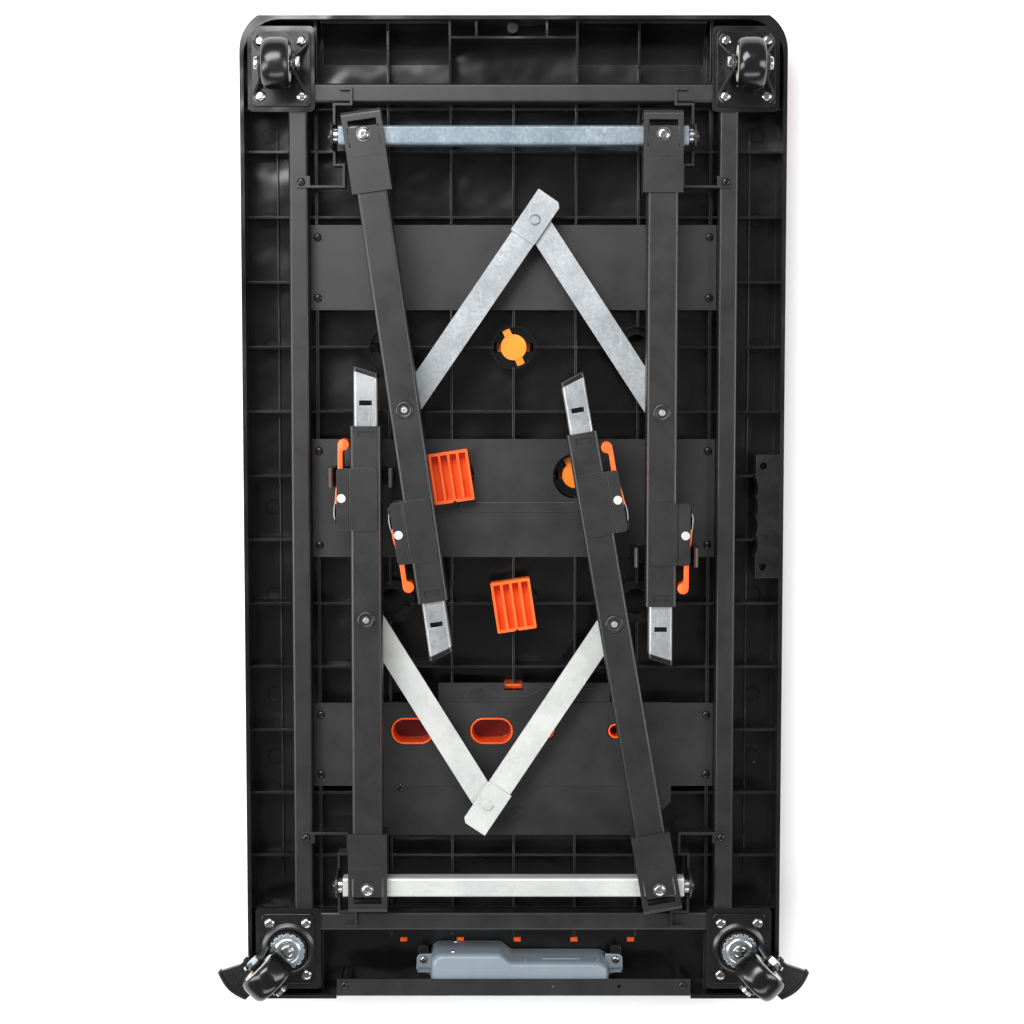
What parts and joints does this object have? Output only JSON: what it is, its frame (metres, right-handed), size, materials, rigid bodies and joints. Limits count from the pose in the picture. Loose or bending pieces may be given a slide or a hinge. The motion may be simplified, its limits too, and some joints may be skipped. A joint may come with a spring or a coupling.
{
  "type": "folding work table",
  "caption": "Folding work table lying on its top, legs and links folded into the ribbed underside, with casters, bench dog sockets and a built-in power box.",
  "frame": {"origin": "centre of the work face, which the folded table lies on", "axes": "+Z out of the underside, +Y along the table towards the fixed casters, +X towards the carry handle"},
  "size_m": [0.618, 1.0282, 0.1285],
  "materials": {
    "shell_black": "moulded satin black",
    "orange_plastic": "moulded orange",
    "zinc_steel": "zinc plated",
    "black_rubber": "matt",
    "smoke_tyre": "polished smoke black",
    "black_nylon": "satin",
    "slate_plastic": "satin blue-grey",
    "black_steel": "satin black powder coat"
  },
  "bodies": {
    "frame": {"top_deck": "shell_black", "top_rim": "shell_black", "top_long_ribs": "shell_black", "top_cross_ribs": "shell_black", "dog_sockets": "shell_black", "edge_trim": "orange_plastic", "side_tubes": "black_steel", "end_tubes": "black_steel", "corner_plates": "black_steel", "panels": "black_steel", "leg_clips": "shell_black", "cup_tray": "shell_black", "tool_cups": "orange_plastic", "brackets": "black_steel", "screws": "zinc_steel", "caster_mounts": "black_steel", "carry_handle": "shell_black", "power_box": "slate_plastic"},
    "cross_front": {"cross_tube_front": "zinc_steel"},
    "leg_front_left": {"leg_tube_front_left": "black_steel", "leg_head_front_left": "black_steel", "leg_clamp_front_left": "black_steel"},
    "inner_front_left": {"inner_leg_front_left": "zinc_steel", "foot_front_left": "black_rubber"},
    "lever_front_left": {"lever_front_left": "orange_plastic"},
    "leg_front_right": {"leg_tube_front_right": "black_steel", "leg_head_front_right": "black_steel", "leg_clamp_front_right": "black_steel"},
    "inner_front_right": {"inner_leg_front_right": "zinc_steel", "foot_front_right": "black_rubber"},
    "lever_front_right": {"lever_front_right": "orange_plastic"},
    "link_front_left": {"link_front_left": "zinc_steel"},
    "link_front_right": {"link_front_right": "zinc_steel"},
    "cross_rear": {"cross_tube_rear": "zinc_steel"},
    "leg_rear_right": {"leg_tube_rear_right": "black_steel", "leg_head_rear_right": "black_steel", "leg_clamp_rear_right": "black_steel"},
    "inner_rear_right": {"inner_leg_rear_right": "zinc_steel", "foot_rear_right": "black_rubber"},
    "lever_rear_right": {"lever_rear_right": "orange_plastic"},
    "leg_rear_left": {"leg_tube_rear_left": "black_steel", "leg_head_rear_left": "black_steel", "leg_clamp_rear_left": "black_steel"},
    "inner_rear_left": {"inner_leg_rear_left": "zinc_steel", "foot_rear_left": "black_rubber"},
    "lever_rear_left": {"lever_rear_left": "orange_plastic"},
    "link_rear_right": {"link_rear_right": "zinc_steel"},
    "link_rear_left": {"link_rear_left": "zinc_steel"},
    "wheel_front_left": {"wheel_front_left": "smoke_tyre"},
    "wheel_front_right": {"wheel_front_right": "smoke_tyre"},
    "swivel_fork_left": {"swivel_fork_left": "black_steel"},
    "wheel_rear_left": {"wheel_rear_left": "smoke_tyre"},
    "brake_pedal_left": {"brake_pedal_left": "black_nylon"},
    "swivel_fork_right": {"swivel_fork_right": "black_steel"},
    "wheel_rear_right": {"wheel_rear_right": "smoke_tyre"},
    "brake_pedal_right": {"brake_pedal_right": "black_nylon"},
    "dog_plug_front": {"dog_plug_front": "orange_plastic"},
    "dog_plug_middle": {"dog_plug_middle": "orange_plastic"},
    "clamp_block_middle": {"clamp_block_middle": "orange_plastic"},
    "clamp_block_rear": {"clamp_block_rear": "orange_plastic"}
  },
  "joints": [
    {"name": "fold_front", "type": "hinge", "parent": "frame", "child": "cross_front", "pos_m": [0, 0.386, 0.0845], "axis": [-1, 0, 0], "range_deg": [0, 90]},
    {"name": "splay_front_left", "type": "hinge", "parent": "cross_front", "child": "leg_front_left", "pos_m": [-0.15, 0.386, 0.0845], "axis": [0, 0, -1], "range_deg": [0, 25.71]},
    {"name": "extend_front_left", "type": "slide", "parent": "leg_front_left", "child": "inner_front_left", "axis": [0.1426, -0.9898, 0], "range_m": [0, 0.14]},
    {"name": "lever_front_left_turn", "type": "hinge", "parent": "leg_front_left", "child": "lever_front_left", "pos_m": [-0.11677, -0.01637, 0.0845], "axis": [0, 0, -1], "range_deg": [0, 75.01]},
    {"name": "splay_front_right", "type": "hinge", "parent": "cross_front", "child": "leg_front_right", "pos_m": [0.15, 0.386, 0.0845], "axis": [0, 0, 1], "range_deg": [0, 17.51]},
    {"name": "extend_front_right", "type": "slide", "parent": "leg_front_right", "child": "inner_front_right", "axis": [0, -1, 0], "range_m": [0, 0.14]},
    {"name": "lever_front_right_turn", "type": "hinge", "parent": "leg_front_right", "child": "lever_front_right", "pos_m": [0.1745, -0.017, 0.0845], "axis": [0, 0, 1], "range_deg": [0, 75.01]},
    {"name": "link_front_swing", "type": "hinge", "parent": "leg_front_left", "child": "link_front_left", "pos_m": [-0.11028, 0.11035, 0.0645], "axis": [0, 0, -1], "range_deg": [0, 29.85]},
    {"name": "link_front_knee", "type": "hinge", "parent": "link_front_left", "child": "link_front_right", "pos_m": [0.02199, 0.30308, 0.0625], "axis": [0, 0, 1], "range_deg": [0, 112.34]},
    {"name": "fold_rear", "type": "hinge", "parent": "frame", "child": "cross_rear", "pos_m": [0, -0.382, 0.0845], "axis": [1, 0, 0], "range_deg": [0, 90]},
    {"name": "splay_rear_right", "type": "hinge", "parent": "cross_rear", "child": "leg_rear_right", "pos_m": [0.15, -0.382, 0.0845], "axis": [0, 0, -1], "range_deg": [0, 27.31]},
    {"name": "extend_rear_right", "type": "slide", "parent": "leg_rear_right", "child": "inner_rear_right", "axis": [-0.1702, 0.9854, 0], "range_m": [0, 0.14]},
    {"name": "lever_rear_right_turn", "type": "hinge", "parent": "leg_rear_right", "child": "lever_rear_right", "pos_m": [0.10555, 0.01929, 0.0845], "axis": [0, 0, -1], "range_deg": [0, 75.01]},
    {"name": "splay_rear_left", "type": "hinge", "parent": "cross_rear", "child": "leg_rear_left", "pos_m": [-0.15, -0.382, 0.0845], "axis": [0, 0, 1], "range_deg": [0, 17.51]},
    {"name": "extend_rear_left", "type": "slide", "parent": "leg_rear_left", "child": "inner_rear_left", "axis": [0, 1, 0], "range_m": [0, 0.14]},
    {"name": "lever_rear_left_turn", "type": "hinge", "parent": "leg_rear_left", "child": "lever_rear_left", "pos_m": [-0.1745, 0.021, 0.0845], "axis": [0, 0, 1], "range_deg": [0, 75.01]},
    {"name": "link_rear_swing", "type": "hinge", "parent": "leg_rear_right", "child": "link_rear_right", "pos_m": [0.1026, -0.10756, 0.0645], "axis": [0, 0, -1], "range_deg": [0, 29.08]},
    {"name": "link_rear_knee", "type": "hinge", "parent": "link_rear_right", "child": "link_rear_left", "pos_m": [-0.02687, -0.30218, 0.0625], "axis": [0, 0, 1], "range_deg": [0, 114.59]},
    {"name": "wheel_front_left_roll", "type": "hinge", "parent": "frame", "child": "wheel_front_left", "pos_m": [-0.2365, 0.456, 0.1025], "axis": [1, 0, 0], "continuous": true},
    {"name": "wheel_front_right_roll", "type": "hinge", "parent": "frame", "child": "wheel_front_right", "pos_m": [0.2365, 0.456, 0.1025], "axis": [1, 0, 0], "continuous": true},
    {"name": "swivel_left_turn", "type": "hinge", "parent": "frame", "child": "swivel_fork_left", "pos_m": [-0.2365, -0.456, 0.0644], "axis": [0, 0, 1], "continuous": true},
    {"name": "wheel_rear_left_roll", "type": "hinge", "parent": "swivel_fork_left", "child": "wheel_rear_left", "pos_m": [-0.25376, -0.47267, 0.1025], "axis": [-0.6947, 0.7193, 0], "continuous": true},
    {"name": "brake_left_press", "type": "hinge", "parent": "swivel_fork_left", "child": "brake_pedal_left", "pos_m": [-0.26312, -0.4817, 0.0699], "axis": [-0.6947, 0.7193, 0], "range_deg": [0, 18]},
    {"name": "swivel_right_turn", "type": "hinge", "parent": "frame", "child": "swivel_fork_right", "pos_m": [0.2365, -0.456, 0.0644], "axis": [0, 0, 1], "continuous": true},
    {"name": "wheel_rear_right_roll", "type": "hinge", "parent": "swivel_fork_right", "child": "wheel_rear_right", "pos_m": [0.25376, -0.47267, 0.1025], "axis": [0.6947, 0.7193, 0], "continuous": true},
    {"name": "brake_right_press", "type": "hinge", "parent": "swivel_fork_right", "child": "brake_pedal_right", "pos_m": [0.26312, -0.4817, 0.0699], "axis": [-0.6947, -0.7193, 0], "range_deg": [0, 18]},
    {"name": "dog_plug_front_turn", "type": "hinge", "parent": "frame", "child": "dog_plug_front", "pos_m": [0, 0.17355, 0.01], "axis": [0, 0, 1], "range_deg": [0, 66]},
    {"name": "dog_plug_middle_turn", "type": "hinge", "parent": "frame", "child": "dog_plug_middle", "pos_m": [0.0645, 0.03975, 0.01], "axis": [0, 0, 1], "range_deg": [0, 66]},
    {"name": "clamp_block_middle_turn", "type": "hinge", "parent": "frame", "child": "clamp_block_middle", "pos_m": [-0.0645, 0.03975, 0.01], "axis": [0, 0, 1], "range_deg": [0, 82]},
    {"name": "clamp_block_rear_turn", "type": "hinge", "parent": "frame", "child": "clamp_block_rear", "pos_m": [0, -0.09405, 0.01], "axis": [0, 0, 1], "range_deg": [0, 82]}
  ],
  "couplings": [
    {"joint": "splay_front_left", "follows": "fold_front", "ratio": 0.28556},
    {"joint": "extend_front_left", "follows": "fold_front", "m_per_rad": 0.089126},
    {"joint": "lever_front_left_turn", "follows": "fold_front", "ratio": 0.83333},
    {"joint": "splay_front_right", "follows": "fold_front", "ratio": 0.19444},
    {"joint": "extend_front_right", "follows": "fold_front", "m_per_rad": 0.089126},
    {"joint": "lever_front_right_turn", "follows": "fold_front", "ratio": 0.83333},
    {"joint": "link_front_swing", "follows": "fold_front", "ratio": 0.33155},
    {"joint": "link_front_knee", "follows": "fold_front", "ratio": 1.2481},
    {"joint": "splay_rear_right", "follows": "fold_rear", "ratio": 0.30333},
    {"joint": "extend_rear_right", "follows": "fold_rear", "m_per_rad": 0.089126},
    {"joint": "lever_rear_right_turn", "follows": "fold_rear", "ratio": 0.83333},
    {"joint": "splay_rear_left", "follows": "fold_rear", "ratio": 0.19444},
    {"joint": "extend_rear_left", "follows": "fold_rear", "m_per_rad": 0.089126},
    {"joint": "lever_rear_left_turn", "follows": "fold_rear", "ratio": 0.83333},
    {"joint": "link_rear_swing", "follows": "fold_rear", "ratio": 0.32298},
    {"joint": "link_rear_knee", "follows": "fold_rear", "ratio": 1.2731}
  ]
}
